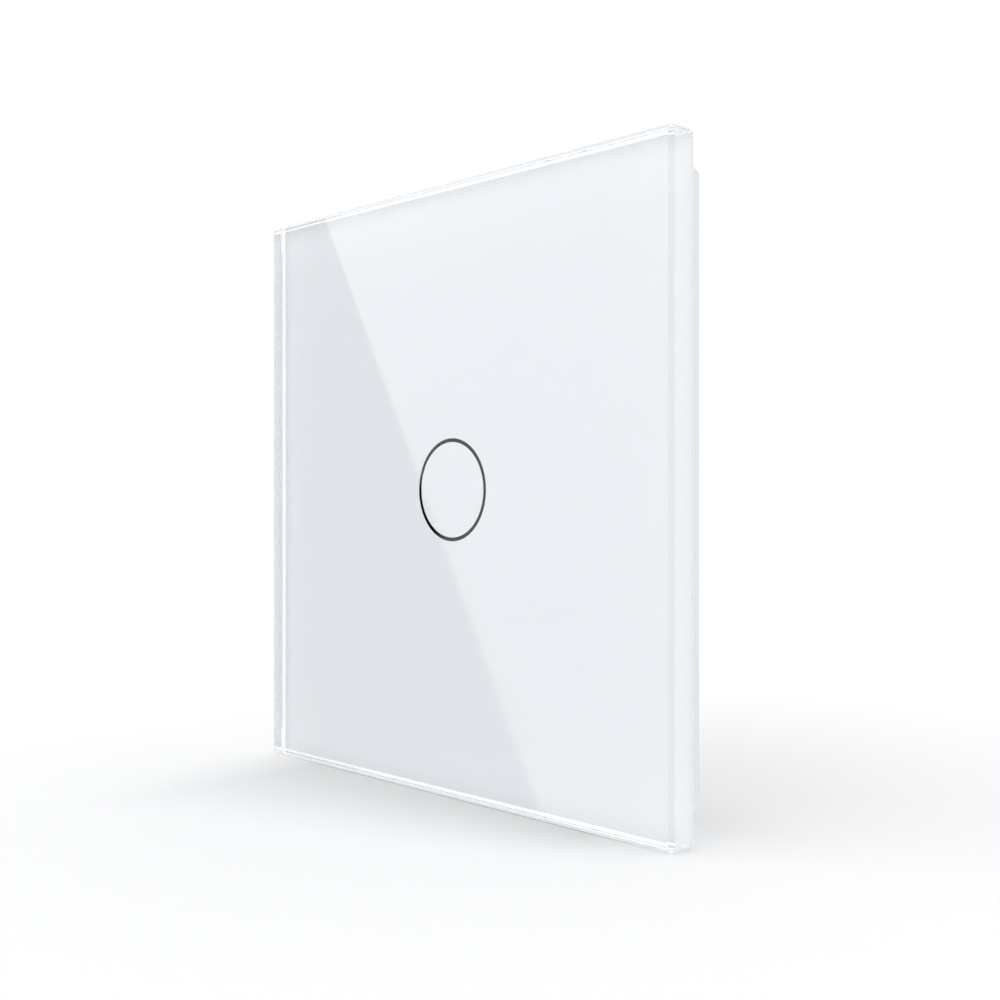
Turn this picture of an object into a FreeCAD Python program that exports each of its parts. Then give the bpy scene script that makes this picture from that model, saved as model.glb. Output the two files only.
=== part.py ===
import FreeCAD, Part
import math
import os
from FreeCAD import Vector

# Touch switch panel: a bonded glass front that snaps onto a slim wall unit with its touch sensor.
# Millimetres. The origin is the centre of the wall plane, which the back of the yoke lies on.
# +Y runs into the wall, the glass faces -Y and +Z is up.
# Every depth is counted from the wall plane outwards, so a piece's front is at y = -depth.

# Glass front
PANEL_SIZE = 80.0
GLASS_THICKNESS = 3.8
EDGE_CHAMFER = 0.55
REAR_CHAMFER = 0.15

# Print on the back of the glass: a white field with a ring-shaped window, and a smoked coat behind it
PRINT_MARGIN = 0.42
PRINT_CORNER_RADIUS = 0.3
PRINT_THICKNESS = 0.1
RING_RADIUS = 6.55
RING_WIDTH = 0.5
SMOKE_OVERLAP = 0.5
SMOKE_THICKNESS = 0.05

# Opal film behind the ring, which spreads the light: as wide as the light guide behind it
FILM_OVERLAP = 1.0
FILM_THICKNESS = 0.2

# Double-sided tape between the print and the frame, as four butted strips
TAPE_THICKNESS = 0.3
TAPE_WIDTH = 3.0
TAPE_INSET = 0.6
TAPE_JOINT = 0.3

# Moulded frame behind the glass
FRAME_INSET = 2.8
FRAME_WALL = 1.2
FRAME_CORNER_CHAMFER = 1.0
FRAME_INSIDE_RADIUS = 0.5
FLANGE_WIDTH = 6.0
FLANGE_THICKNESS = 1.0
FLANGE_CORNER_RADIUS = 3.0
SCREW_ROOM_RADIUS = 3.5
BEAD_WIDTH = 1.0
BEAD_HEIGHT = 0.25
RIB_WIDTH = 0.8
RIBS_PER_SIDE = 9
GUSSET_LEG = 3.5
SEAT_LENGTH = 5.0
SEAT_HEIGHT = 0.35
SEAT_GAP = 0.05
SNAP_LENGTH = 7.0
SNAP_HEIGHT = 0.2
SNAP_DEPTH = 1.35
SNAP_BASE = 0.9
SNAP_SPREAD = 20.0
PRY_WIDTH = 9.0
PRY_DEPTH = 1.9
PRY_RADIUS = 0.8

# Pressed steel yoke, fastened over the wall box
YOKE_THICKNESS = 0.8
YOKE_GAP = 0.3
YOKE_BEND_RADIUS = 0.4
YOKE_CORNER_GAP = 0.5
YOKE_RELIEF = 1.0
SCREW_SPACING = 60.0
SLOT_WIDTH = 4.2
SLOT_LENGTH = 6.0
SNAP_WINDOW_GAP = 0.4

# Moulded tray that carries the sensor board, sunk through the yoke's square opening into the wall box
TRAY_SIZE = 43.4
TRAY_CORNER_RADIUS = 3.0
TRAY_WALL = 1.2
TRAY_FLOOR = 0.8
TRAY_SINK = 1.0
TRAY_LIP_WIDTH = 5.1
TRAY_LIP_THICKNESS = 1.0
TRAY_LIP_RADIUS = 4.0
TRAY_FIT = 0.3
CATCH_LENGTH = 3.6
CATCH_HEIGHT = 0.5
CATCH_OUT = 0.5
CATCH_SPREAD = 11.0
CATCH_GAP = 0.1
HOOK_SLOT_GAP = 0.2

# Screws that hold the tray to the yoke, in a column on each side of the tray's walls
TRAY_SCREW_OFFSET = 3.0
TRAY_SCREW_SPREAD = 15.0
TRAY_SCREW_RADIUS = 0.95
TRAY_SCREW_CLEARANCE = 0.15
TRAY_SCREW_HEAD_RADIUS = 1.6
TRAY_SCREW_HEAD_HEIGHT = 1.2
TRAY_SCREW_RECESS = 0.7

# Sensor board on four heat-staked posts
BOARD_GAP = 0.4
BOARD_THICKNESS = 1.0
BOARD_CORNER_RADIUS = 2.0
STANDOFF_HEIGHT = 0.4
STANDOFF_SIZE = 4.4
STAKE_RADIUS = 0.9
STAKE_CLEARANCE = 0.15
STAKE_HEAD_RADIUS = 1.5
STAKE_HEAD_HEIGHT = 0.6
STAKE_INSET = 3.4

# Cover over the board
TALLEST_COMPONENT = 1.2
COMPONENT_CLEARANCE = 0.4
COVER_THICKNESS = 0.8
COVER_SKIRT_WALL = 1.0
COVER_SKIRT_HEIGHT = 0.4
COVER_FIT = 0.2
COVER_GAP = 0.5

# Light guide ring, its foam baffle, and the sprung touch electrode inside it
GUIDE_OVERLAP = 1.1
GUIDE_FLANGE_WIDTH = 1.3
GUIDE_FLANGE_THICKNESS = 0.35
GUIDE_FIT = 0.15
GUIDE_TOP_GAP = 0.1
GUIDE_FEET = 3
GUIDE_FOOT_RADIUS = 0.5
BAFFLE_WIDTH = 2.5
BAFFLE_GAP = 0.05
SPRING_WIRE = 0.4
SPRING_RADIUS = 3.3
SPRING_TURNS = 2.5
SPRING_TOP_GAP = 0.05
SPRING_SIDES = 8
SPRING_SIDE_GAP = 0.8

# Plug-in header for the power module that sits in the wall box
HEADER_PITCH = 2.54
HEADER_COLUMNS = 4
HEADER_ROWS = 2
HEADER_HEIGHT = 2.5
HEADER_CORNER = 0.5
HEADER_INSET = 7.1
HEADER_CLEARANCE = 0.4
PIN_WIDTH = 0.64
PIN_FREE_LENGTH = 6.0
PIN_TIP = 0.3
PIN_SOLDER_LENGTH = 0.9
PIN_HOLE_CLEARANCE = 0.1

# Components on the front of the board, in a column on each side: sizes are across, proud and along
COLUMN_INSET = 7.6
LED_COUNT = 4
LED_SIZE = (2.0, 0.8, 1.25)
CONTROLLER_SIZE = (5.0, 0.95, 4.4)
CONTROLLER_INSET = 12.1
LEAD_PITCH = 0.65
LEADS_PER_SIDE = 8
LEAD_SPAN = 6.4
LEAD_WIDTH = 0.25
LEAD_THICKNESS = 0.15
LEAD_FOOT = 0.5
CHIP_STANDOFF = 0.1
REGULATOR_SIZE = (2.9, 0.95, 1.4)
REGULATOR_RISE = 4.5
REGULATOR_SPAN = 2.4
REGULATOR_PITCH = 0.95
REGULATOR_LEAD_WIDTH = 0.4
BULK_CAPACITOR_SIZE = (3.2, 1.1, 1.6)
BULK_CAPACITOR_INSET = 6.6
RESISTOR_SIZE = (1.6, 0.45, 0.8)
RESISTOR_INSET = 8.6
RESISTOR_STEP = 1.7
RESISTOR_COUNT = 6
CAPACITOR_SIZE = (1.6, 0.8, 0.8)
CAPACITOR_DROP = 4.8
CAPACITOR_STEP = 1.8
CAPACITOR_COUNT = 5
END_CAP_LENGTH = 0.3
END_CAP_PROUD = 0.02

# Stack of depths, from the wall plane outwards
tray_back = -TRAY_SINK
tray_floor = tray_back + TRAY_FLOOR
board_back = tray_floor + STANDOFF_HEIGHT
board_front = board_back + BOARD_THICKNESS
cover_back = board_front + TALLEST_COMPONENT + COMPONENT_CLEARANCE
cover_front = cover_back + COVER_THICKNESS
print_back = cover_front + COVER_GAP
glass_back = print_back + PRINT_THICKNESS
glass_front = glass_back + GLASS_THICKNESS
frame_front = print_back - TAPE_THICKNESS
flange_back = frame_front - FLANGE_THICKNESS
yoke_front = flange_back - SEAT_HEIGHT - SEAT_GAP
smoke_back = print_back - SMOKE_THICKNESS
film_back = smoke_back - FILM_THICKNESS

# Half-widths that several pieces share
half_panel = PANEL_SIZE / 2
half_frame = half_panel - FRAME_INSET
half_frame_inside = half_frame - FRAME_WALL
half_yoke = half_frame_inside - YOKE_GAP
half_tray = TRAY_SIZE / 2
half_board = half_tray - TRAY_WALL - BOARD_GAP
stake_place = half_board - STAKE_INSET
column_place = half_board - COLUMN_INSET
header_drop = half_board - HEADER_INSET
ring_inner = RING_RADIUS - RING_WIDTH / 2
ring_outer = RING_RADIUS + RING_WIDTH / 2
guide_radius = ring_outer + GUIDE_OVERLAP
guide_bore_radius = SPRING_RADIUS + SPRING_WIRE / 2 + SPRING_SIDE_GAP
guide_flange_radius = guide_radius + GUIDE_FLANGE_WIDTH
led_circle_radius = (guide_radius + guide_bore_radius) / 2
controller_place = (-column_place, half_board - CONTROLLER_INSET)
bulk_capacitor_place = (column_place, BULK_CAPACITOR_INSET - half_board)
regulator_place = (column_place, bulk_capacitor_place[1] + REGULATOR_RISE)
resistor_top = half_board - RESISTOR_INSET
capacitor_top = controller_place[1] - CAPACITOR_DROP
hook_length = CATCH_LENGTH + 4 * CATCH_GAP


def outline(width, height, radius, depth, x=0.0, z=0.0):
    """A rounded rectangle parallel to the wall, as a face at this depth."""
    edges = []
    arcs = []
    for quarter in range(4):
        angle = math.radians(90 * quarter)
        side_x = 1 if quarter in (0, 3) else -1
        side_z = 1 if quarter in (0, 1) else -1
        centre_x = x + side_x * (width / 2 - radius)
        centre_z = z + side_z * (height / 2 - radius)
        points = []
        for step in (0.0, 0.5, 1.0):
            turn = angle + math.radians(90 * step)
            points.append(Vector(centre_x + radius * math.cos(turn), -depth,
                                 centre_z + radius * math.sin(turn)))
        arcs.append(points)
    for index, points in enumerate(arcs):
        edges.append(Part.Arc(*points).toShape())
        following = arcs[(index + 1) % 4]
        edges.append(Part.LineSegment(points[2], following[0]).toShape())
    return Part.Face(Part.Wire(edges))


def slab(width, height, radius, front, back, x=0.0, z=0.0):
    """A rounded plate between two depths, front being the larger one."""
    return outline(width, height, radius, front, x, z).extrude(Vector(0, front - back, 0))


def block(width, height, front, back, x=0.0, z=0.0):
    """A square-cornered block between two depths, centred on x and z."""
    return Part.makeBox(width, front - back, height, Vector(x - width / 2, -front, z - height / 2))


def disc(radius, front, back, x=0.0, z=0.0):
    """A round plate, peg or hole between two depths."""
    return Part.makeCylinder(radius, front - back, Vector(x, -front, z), Vector(0, 1, 0))


def washer(outer, inner, front, back):
    """A flat ring about the panel's axis."""
    return disc(outer, front, back).cut(disc(inner, front, back))


def turned(shape, degrees):
    """A copy of a shape, turned about the panel's own axis."""
    copy = shape.copy()
    copy.rotate(Vector(0, 0, 0), Vector(0, 1, 0), degrees)
    return copy


def four_sides(shape):
    """The same shape on the right, bottom, left and top sides."""
    return [turned(shape, 90 * side) for side in range(4)]


def moved(shape, x, z):
    """A copy of a shape, shifted parallel to the wall."""
    copy = shape.copy()
    copy.translate(Vector(x, 0, z))
    return copy


def joined(shapes):
    """Shapes fused into one solid, with no seams left on its flat faces."""
    return shapes[0].multiFuse(shapes[1:]).removeSplitter()


def prism(points, length, z):
    """A section drawn in x and depth, run along z and centred on it."""
    corners = [Vector(x, -depth, z - length / 2) for x, depth in points]
    face = Part.Face(Part.makePolygon(corners + corners[:1]))
    return face.extrude(Vector(0, 0, length))


def glass_plate():
    """The clear plate, with ground edges: a plain bevel in front and a fine one behind."""
    plate = block(PANEL_SIZE, PANEL_SIZE, glass_front, glass_back)
    seen = [edge for edge in plate.Edges if abs(edge.CenterOfMass.y + glass_back) > 0.001]
    plate = plate.makeChamfer(EDGE_CHAMFER, seen)
    rear = [edge for edge in plate.Edges if abs(edge.CenterOfMass.y + glass_back) < 0.001]
    return plate.makeChamfer(REAR_CHAMFER, rear)


def white_backing():
    """White print over the glass back: the field and, inside the ring window, the touch disc."""
    size = PANEL_SIZE - 2 * PRINT_MARGIN
    field = slab(size, size, PRINT_CORNER_RADIUS, glass_back, print_back)
    field = field.cut(disc(ring_outer, glass_back, print_back))
    return [field, disc(ring_inner, glass_back, print_back)]


def ring_print():
    """The smoked coat behind the ring window, which looks dark until it is lit."""
    return washer(ring_outer + SMOKE_OVERLAP, ring_inner - SMOKE_OVERLAP, print_back, smoke_back)


def ring_diffuser():
    """Opal film on the back of the smoked coat."""
    return washer(guide_radius, ring_inner - FILM_OVERLAP, smoke_back, film_back)


def bonding_tape():
    """Four strips of foam tape that chase each other round the frame."""
    outer = half_frame - TAPE_INSET
    length = 2 * outer - TAPE_WIDTH - TAPE_JOINT
    strip = block(TAPE_WIDTH, length, print_back, frame_front,
                  outer - TAPE_WIDTH / 2, outer - length / 2)
    return four_sides(strip)


def snap_bump():
    """A low ridge inside the frame's right wall, with a ramp on both sides."""
    wall = half_frame_inside
    points = [(wall, SNAP_DEPTH - SNAP_BASE / 2),
              (wall - SNAP_HEIGHT, SNAP_DEPTH - SNAP_BASE / 6),
              (wall - SNAP_HEIGHT, SNAP_DEPTH + SNAP_BASE / 6),
              (wall, SNAP_DEPTH + SNAP_BASE / 2)]
    return prism(points, SNAP_LENGTH, 0.0)


def panel_frame():
    """The thin-walled moulding bonded to the glass: its flange leaves room for the wall-box screws."""
    size = 2 * half_frame
    inside = 2 * half_frame_inside
    window = size - 2 * FLANGE_WIDTH
    body = block(size, size, frame_front, 0.0)
    for corner in four_sides(corner_wedge(size - FRAME_CORNER_CHAMFER)):
        body = body.common(corner)
    body = body.cut(slab(inside, inside, FRAME_INSIDE_RADIUS, flange_back, 0.0))
    body = body.cut(slab(window, window, FLANGE_CORNER_RADIUS, frame_front, flange_back))

    bead_back = flange_back - BEAD_HEIGHT
    bead_size = window + 2 * BEAD_WIDTH
    bead = slab(bead_size, bead_size, FLANGE_CORNER_RADIUS + BEAD_WIDTH, flange_back, bead_back)
    bead = bead.cut(slab(window, window, FLANGE_CORNER_RADIUS, flange_back, bead_back))
    pieces = [body, bead]

    rib_start = window / 2 + BEAD_WIDTH / 2
    rib_length = half_frame_inside - rib_start
    rib = block(rib_length, RIB_WIDTH, flange_back, bead_back, rib_start + rib_length / 2)
    rib_step = window / (RIBS_PER_SIDE + 1)
    for index in range(RIBS_PER_SIDE):
        offset = (index - (RIBS_PER_SIDE - 1) / 2) * rib_step
        pieces += four_sides(moved(rib, 0.0, offset))

    seat_width = YOKE_GAP + YOKE_THICKNESS
    seat = block(seat_width, SEAT_LENGTH, flange_back, flange_back - SEAT_HEIGHT,
                 half_frame_inside - seat_width / 2)
    for side in (-1, 1):
        pieces += four_sides(moved(seat, 0.0, side * SNAP_SPREAD))
        pieces += four_sides(moved(snap_bump(), 0.0, side * SNAP_SPREAD))

    corner = half_frame_inside
    gusset = prism([(corner, flange_back), (corner, 0.0), (corner - GUSSET_LEG, 0.0),
                    (corner - GUSSET_LEG, flange_back)], GUSSET_LEG, corner - GUSSET_LEG / 2)
    gusset = gusset.cut(corner_wedge(2 * corner - GUSSET_LEG))
    pieces += four_sides(gusset)

    frame = joined(pieces)
    notch = slab(PRY_WIDTH, 2 * PRY_DEPTH, PRY_RADIUS, FRAME_WALL, -FRAME_WALL)
    notch.rotate(Vector(0, 0, 0), Vector(1, 0, 0), 90)
    notch.translate(Vector(0, 0, FRAME_WALL / 2 - half_frame))
    screw_room = disc(SCREW_ROOM_RADIUS, frame_front, bead_back, SCREW_SPACING / 2)
    return frame.cut(Part.makeCompound([notch] + four_sides(screw_room)))


def corner_wedge(reach):
    """Everything on the panel's side of the line x + z = reach, near the top right corner."""
    far = 4 * half_panel
    points = [(reach + far, -far), (-far, reach + far), (-far, -far)]
    corners = [Vector(x, -far, z) for x, z in points]
    face = Part.Face(Part.makePolygon(corners + corners[:1]))
    return face.extrude(Vector(0, 2 * far, 0))


def yoke_flange(length):
    """The right-hand flange: a bent strip that rises from the plate's edge."""
    bend = YOKE_BEND_RADIUS + YOKE_THICKNESS
    root = half_yoke - bend
    mid = math.sqrt(0.5)

    def at(x, depth):
        return Vector(x, -depth, -length / 2)

    edges = [
        Part.Arc(at(root, 0.0), at(root + bend * mid, bend - bend * mid), at(half_yoke, bend)).toShape(),
        Part.LineSegment(at(half_yoke, bend), at(half_yoke, yoke_front)).toShape(),
        Part.LineSegment(at(half_yoke, yoke_front), at(half_yoke - YOKE_THICKNESS, yoke_front)).toShape(),
        Part.LineSegment(at(half_yoke - YOKE_THICKNESS, yoke_front),
                         at(half_yoke - YOKE_THICKNESS, bend)).toShape(),
        Part.Arc(at(half_yoke - YOKE_THICKNESS, bend),
                 at(root + YOKE_BEND_RADIUS * mid, bend - YOKE_BEND_RADIUS * mid),
                 at(root, YOKE_THICKNESS)).toShape(),
        Part.LineSegment(at(root, YOKE_THICKNESS), at(root, 0.0)).toShape(),
    ]
    return Part.Face(Part.Wire(edges)).extrude(Vector(0, 0, length))


def mounting_yoke():
    """Pressed steel plate with four upturned flanges, cut back at its corners for the frame's gussets."""
    bend = YOKE_BEND_RADIUS + YOKE_THICKNESS
    root = half_yoke - bend
    reach = 2 * half_frame_inside - GUSSET_LEG - YOKE_CORNER_GAP * math.sqrt(2)
    plate = block(2 * root, 2 * root, YOKE_THICKNESS, 0.0)
    corner_cut = block(4 * root, 4 * root, YOKE_THICKNESS, 0.0).cut(corner_wedge(reach))
    plate = plate.cut(Part.makeCompound(four_sides(corner_cut)))
    flange_length = 2 * (reach - half_yoke - YOKE_RELIEF)
    yoke = joined([plate] + four_sides(yoke_flange(flange_length)))

    opening = TRAY_SIZE + 2 * TRAY_FIT
    cuts = [slab(opening, opening, TRAY_CORNER_RADIUS + TRAY_FIT, YOKE_THICKNESS, 0.0)]
    slot = slab(SLOT_LENGTH, SLOT_WIDTH, SLOT_WIDTH / 2 - 0.001, YOKE_THICKNESS, 0.0, SCREW_SPACING / 2)
    cuts += four_sides(slot)
    window = block(3 * YOKE_THICKNESS, SNAP_LENGTH + 2 * SNAP_WINDOW_GAP,
                   SNAP_DEPTH + SNAP_BASE / 2, SNAP_DEPTH - SNAP_BASE / 2, half_yoke)
    for side in (-1, 1):
        cuts += four_sides(moved(window, 0.0, side * SNAP_SPREAD))
    for x, z in tray_screw_places():
        cuts.append(disc(TRAY_SCREW_RADIUS, YOKE_THICKNESS, 0.0, x, z))
    return yoke.cut(Part.makeCompound(cuts))


def tray_screw_places():
    """Centres of the four tray screws."""
    place = half_tray + TRAY_SCREW_OFFSET
    return [(x, z) for x in (-place, place) for z in (-TRAY_SCREW_SPREAD, TRAY_SCREW_SPREAD)]


def stake_places():
    """Centres of the four posts under the board."""
    return [(x, z) for x in (-stake_place, stake_place) for z in (-stake_place, stake_place)]


def header_opening(clearance, front, back):
    """The space that the header's plastic takes, with some clearance."""
    return block(HEADER_COLUMNS * HEADER_PITCH + 2 * clearance,
                 HEADER_ROWS * HEADER_PITCH + 2 * clearance, front, back, 0.0, -header_drop)


def sensor_tray():
    """Moulded tray: a slotted lip in front of the yoke, walls, floor, standoffs, heat stakes and catches."""
    lip_front = YOKE_THICKNESS + TRAY_LIP_THICKNESS
    inside = TRAY_SIZE - 2 * TRAY_WALL
    body = slab(TRAY_SIZE, TRAY_SIZE, TRAY_CORNER_RADIUS, cover_back, tray_back)
    lip_size = TRAY_SIZE + 2 * TRAY_LIP_WIDTH
    lip = slab(lip_size, lip_size, TRAY_LIP_RADIUS, lip_front, YOKE_THICKNESS)
    pocket = slab(inside, inside, TRAY_CORNER_RADIUS - TRAY_WALL, cover_back, tray_floor)
    pieces = [joined([body, lip]).cut(pocket)]
    for x, z in stake_places():
        pieces.append(block(STANDOFF_SIZE, STANDOFF_SIZE, board_back, tray_floor - TRAY_FLOOR / 2, x, z))
        pieces.append(disc(STAKE_RADIUS, board_front, tray_floor - TRAY_FLOOR / 2, x, z))
        head = Part.makeCone(STAKE_HEAD_RADIUS, STAKE_HEAD_RADIUS / 2, STAKE_HEAD_HEIGHT,
                             Vector(x, -board_front, z), Vector(0, -1, 0))
        pieces.append(head)
    for side in (-1, 1):
        pieces += four_sides(moved(tray_catch(), 0.0, side * CATCH_SPREAD))
    tray = joined(pieces)
    cuts = [header_opening(HEADER_CLEARANCE, tray_floor, tray_back)]
    slot_width = COVER_FIT + COVER_SKIRT_WALL + HOOK_SLOT_GAP
    slot = block(slot_width, hook_length + 2 * HOOK_SLOT_GAP, lip_front, YOKE_THICKNESS,
                 half_tray + slot_width / 2)
    for side in (-1, 1):
        cuts += four_sides(moved(slot, 0.0, side * CATCH_SPREAD))
    for x, z in tray_screw_places():
        cuts.append(disc(TRAY_SCREW_RADIUS + TRAY_SCREW_CLEARANCE, lip_front, YOKE_THICKNESS, x, z))
    return tray.cut(Part.makeCompound(cuts))


def tray_catch():
    """A ramped catch on the tray's right wall, under the cover's skirt window."""
    top = cover_back - CATCH_GAP
    points = [(half_tray - TRAY_WALL / 2, top), (half_tray + CATCH_OUT / 3, top),
              (half_tray + CATCH_OUT, top - CATCH_HEIGHT), (half_tray - TRAY_WALL / 2, top - CATCH_HEIGHT)]
    return prism(points, CATCH_LENGTH, 0.0)


def tray_cover():
    """Thin cover with a short skirt round the tray's rim, hooks over the catches and a round opening."""
    outer = TRAY_SIZE + 2 * (COVER_FIT + COVER_SKIRT_WALL)
    inner = TRAY_SIZE + 2 * COVER_FIT
    hook_back = cover_back - CATCH_GAP - CATCH_HEIGHT
    plate = slab(outer, outer, TRAY_CORNER_RADIUS + COVER_FIT + COVER_SKIRT_WALL,
                 cover_front, cover_back - COVER_SKIRT_HEIGHT)
    cavity = slab(inner, inner, TRAY_CORNER_RADIUS + COVER_FIT, cover_back, cover_back - COVER_SKIRT_HEIGHT)
    skirt_outer = outer / 2
    skirt_inner = inner / 2
    hook = prism([(skirt_inner + CATCH_OUT, cover_back), (skirt_outer, cover_back),
                  (skirt_outer, hook_back - 3 * CATCH_GAP - COVER_SKIRT_HEIGHT),
                  (skirt_inner, hook_back - 3 * CATCH_GAP), (skirt_inner, hook_back - CATCH_GAP),
                  (skirt_inner + CATCH_OUT, hook_back - CATCH_GAP)], hook_length, 0.0)
    room = block(2 * (CATCH_OUT + CATCH_GAP), hook_length, cover_back, hook_back - CATCH_GAP,
                 skirt_inner)
    cover = plate.cut(cavity)
    cuts = [disc(guide_radius + GUIDE_FIT, cover_front, cover_back)]
    hooks = []
    for side in (-1, 1):
        hooks += four_sides(moved(hook, 0.0, side * CATCH_SPREAD))
        cuts += four_sides(moved(room, 0.0, side * CATCH_SPREAD))
    return joined([cover] + hooks).cut(Part.makeCompound(cuts))


def sensor_board():
    """The circuit board, with holes for the stakes and the header's pins."""
    board = slab(2 * half_board, 2 * half_board, BOARD_CORNER_RADIUS, board_front, board_back)
    cuts = []
    for x, z in stake_places():
        cuts.append(disc(STAKE_RADIUS + STAKE_CLEARANCE, board_front, board_back, x, z))
    hole = PIN_WIDTH + 2 * PIN_HOLE_CLEARANCE
    for x, z in pin_places():
        cuts.append(block(hole, hole, board_front, board_back, x, z))
    return board.cut(Part.makeCompound(cuts))


def foot_places():
    """Centres of the light guide's feet, spread evenly near its flange's edge."""
    radius = guide_flange_radius - 2 * GUIDE_FOOT_RADIUS
    angles = [math.radians(90 + 360 * index / GUIDE_FEET) for index in range(GUIDE_FEET)]
    return [(radius * math.cos(angle), radius * math.sin(angle)) for angle in angles]


def light_guide():
    """Opal ring that stands in the cover's opening on three feet, and carries the light to the film."""
    top = film_back - GUIDE_TOP_GAP
    flange_front = cover_back
    flange_rear = cover_back - GUIDE_FLANGE_THICKNESS
    pieces = [disc(guide_radius, top, flange_rear), disc(guide_flange_radius, flange_front, flange_rear)]
    for x, z in foot_places():
        pieces.append(disc(GUIDE_FOOT_RADIUS, flange_rear, board_front, x, z))
    return joined(pieces).cut(disc(guide_bore_radius, top, flange_rear))


def light_baffle():
    """Foam washer on the cover that keeps the light inside the ring."""
    inner = guide_radius + 2 * GUIDE_FIT
    return washer(inner + BAFFLE_WIDTH, inner, print_back - BAFFLE_GAP, cover_front)


def wire_section(centre, direction):
    """The spring wire's section: a regular polygon square to its run."""
    across = direction.cross(Vector(0, 1, 0)).normalize()
    up = across.cross(direction).normalize()
    corners = []
    for index in range(SPRING_SIDES):
        angle = 2 * math.pi * (index + 0.5) / SPRING_SIDES
        corners.append(centre + across * (SPRING_WIRE / 2 * math.cos(angle))
                       + up * (SPRING_WIRE / 2 * math.sin(angle)))
    return Part.makePolygon(corners + corners[:1])


def touch_spring():
    """The sprung electrode: a short open coil from the board to the back of the touch disc."""
    height = print_back - SPRING_TOP_GAP - board_front - SPRING_WIRE
    start = board_front + SPRING_WIRE / 2
    arcs_per_turn = 4
    count = round(SPRING_TURNS * arcs_per_turn)

    def along(step):
        angle = 2 * math.pi * step / arcs_per_turn
        depth = start + height * step / count
        return Vector(SPRING_RADIUS * math.cos(angle), -depth, SPRING_RADIUS * math.sin(angle))

    edges = [Part.Arc(along(step), along(step + 0.5), along(step + 1)).toShape() for step in range(count)]
    path = Part.Wire(edges)
    first = edges[0]
    direction = first.tangentAt(first.FirstParameter)
    section = wire_section(along(0), direction)
    gap = height / SPRING_TURNS - SPRING_WIRE
    print("touch_spring: turns", SPRING_TURNS, "least gap between turns", round(gap, 3))
    return path.makePipeShell([section], True, False)


def tray_screws():
    """Four pan-head screws: shank, bevelled head and a cross recess."""
    seat = YOKE_THICKNESS + TRAY_LIP_THICKNESS
    crown = seat + TRAY_SCREW_HEAD_HEIGHT
    screws = []
    for x, z in tray_screw_places():
        shank = disc(TRAY_SCREW_RADIUS, seat, 0.0, x, z)
        head = disc(TRAY_SCREW_HEAD_RADIUS, crown, seat, x, z)
        rim = [edge for edge in head.Edges if abs(edge.CenterOfMass.y + crown) < 0.001]
        head = head.makeChamfer(TRAY_SCREW_HEAD_HEIGHT / 3, rim)
        arm = TRAY_SCREW_HEAD_RADIUS * 1.1
        bar = block(arm, arm / 5, crown, crown - TRAY_SCREW_RECESS, x, z)
        cross = block(arm / 5, arm, crown, crown - TRAY_SCREW_RECESS, x, z)
        screws.append(joined([head, shank]).cut(bar.fuse(cross)))
    return screws


def pin_places():
    """Centres of the header's pins."""
    places = []
    for column in range(HEADER_COLUMNS):
        for row in range(HEADER_ROWS):
            x = (column - (HEADER_COLUMNS - 1) / 2) * HEADER_PITCH
            z = (row - (HEADER_ROWS - 1) / 2) * HEADER_PITCH - header_drop
            places.append((x, z))
    return places


def header_base():
    """The header's plastic: one block per column, with cut corners, holed for the pins."""
    front = board_back
    back = board_back - HEADER_HEIGHT
    height = HEADER_ROWS * HEADER_PITCH
    pieces = []
    for column in range(HEADER_COLUMNS):
        x = (column - (HEADER_COLUMNS - 1) / 2) * HEADER_PITCH
        cell = block(HEADER_PITCH, height, front, back, x, -header_drop)
        corners = [edge for edge in cell.Edges if abs(edge.tangentAt(edge.FirstParameter).y) > 0.9]
        pieces.append(cell.makeChamfer(HEADER_CORNER, corners))
    holes = [block(PIN_WIDTH, PIN_WIDTH, front, back, x, z) for x, z in pin_places()]
    return joined(pieces).cut(Part.makeCompound(holes))


def header_pins():
    """Square pins, pointed at both ends, soldered to the board and free behind the plastic."""
    tip = board_back - HEADER_HEIGHT - PIN_FREE_LENGTH
    pins = []
    for x, z in pin_places():
        pin = block(PIN_WIDTH, PIN_WIDTH, board_front + PIN_SOLDER_LENGTH, tip, x, z)
        ends = [edge for edge in pin.Edges if abs(edge.tangentAt(edge.FirstParameter).y) < 0.1]
        rear = [edge for edge in ends if abs(edge.CenterOfMass.y + tip) < 0.001]
        pins.append(pin.makeChamfer(PIN_TIP / 2, rear))
    return pins


def indicator_leds():
    """Four side-by-side light sources under the light guide, each with a domed lens on its base."""
    width, height, depth = LED_SIZE
    base = block(width, depth, board_front + height / 2, board_front, 0.0, led_circle_radius)
    lens = block(width * 0.6, depth, board_front + height, board_front + height / 2,
                 0.0, led_circle_radius)
    rim = [edge for edge in lens.Edges if abs(edge.CenterOfMass.y + board_front + height) < 0.001
           and abs(edge.tangentAt(edge.FirstParameter).z) > 0.9]
    lens = lens.makeChamfer(height / 4, rim)
    led = joined([base, lens])
    return [turned(led, 45 + 360 * index / LED_COUNT) for index in range(LED_COUNT)]


def chip_body(size, place, pin_mark):
    """A moulded package with drafted sides, and a dimple beside its first lead if it has one."""
    width, height, depth = size
    base = board_front + CHIP_STANDOFF
    middle = base + height / 2
    top = base + height
    draft = height / 6
    x, z = place
    sections = []
    for level, narrow in ((base, draft), (middle, 0.0), (top, draft)):
        face = [Vector(x + sx * (width / 2 - narrow), -level, z + sz * (depth / 2 - narrow))
                for sx, sz in ((1, 1), (-1, 1), (-1, -1), (1, -1))]
        sections.append(Part.makePolygon(face + face[:1]))
    body = Part.makeLoft(sections, True, True)
    if pin_mark:
        dimple = disc(depth / 12, top, top - height / 10, x - width / 2 + depth / 5, z - depth / 2 + depth / 5)
        body = body.cut(dimple)
    return body


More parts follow.
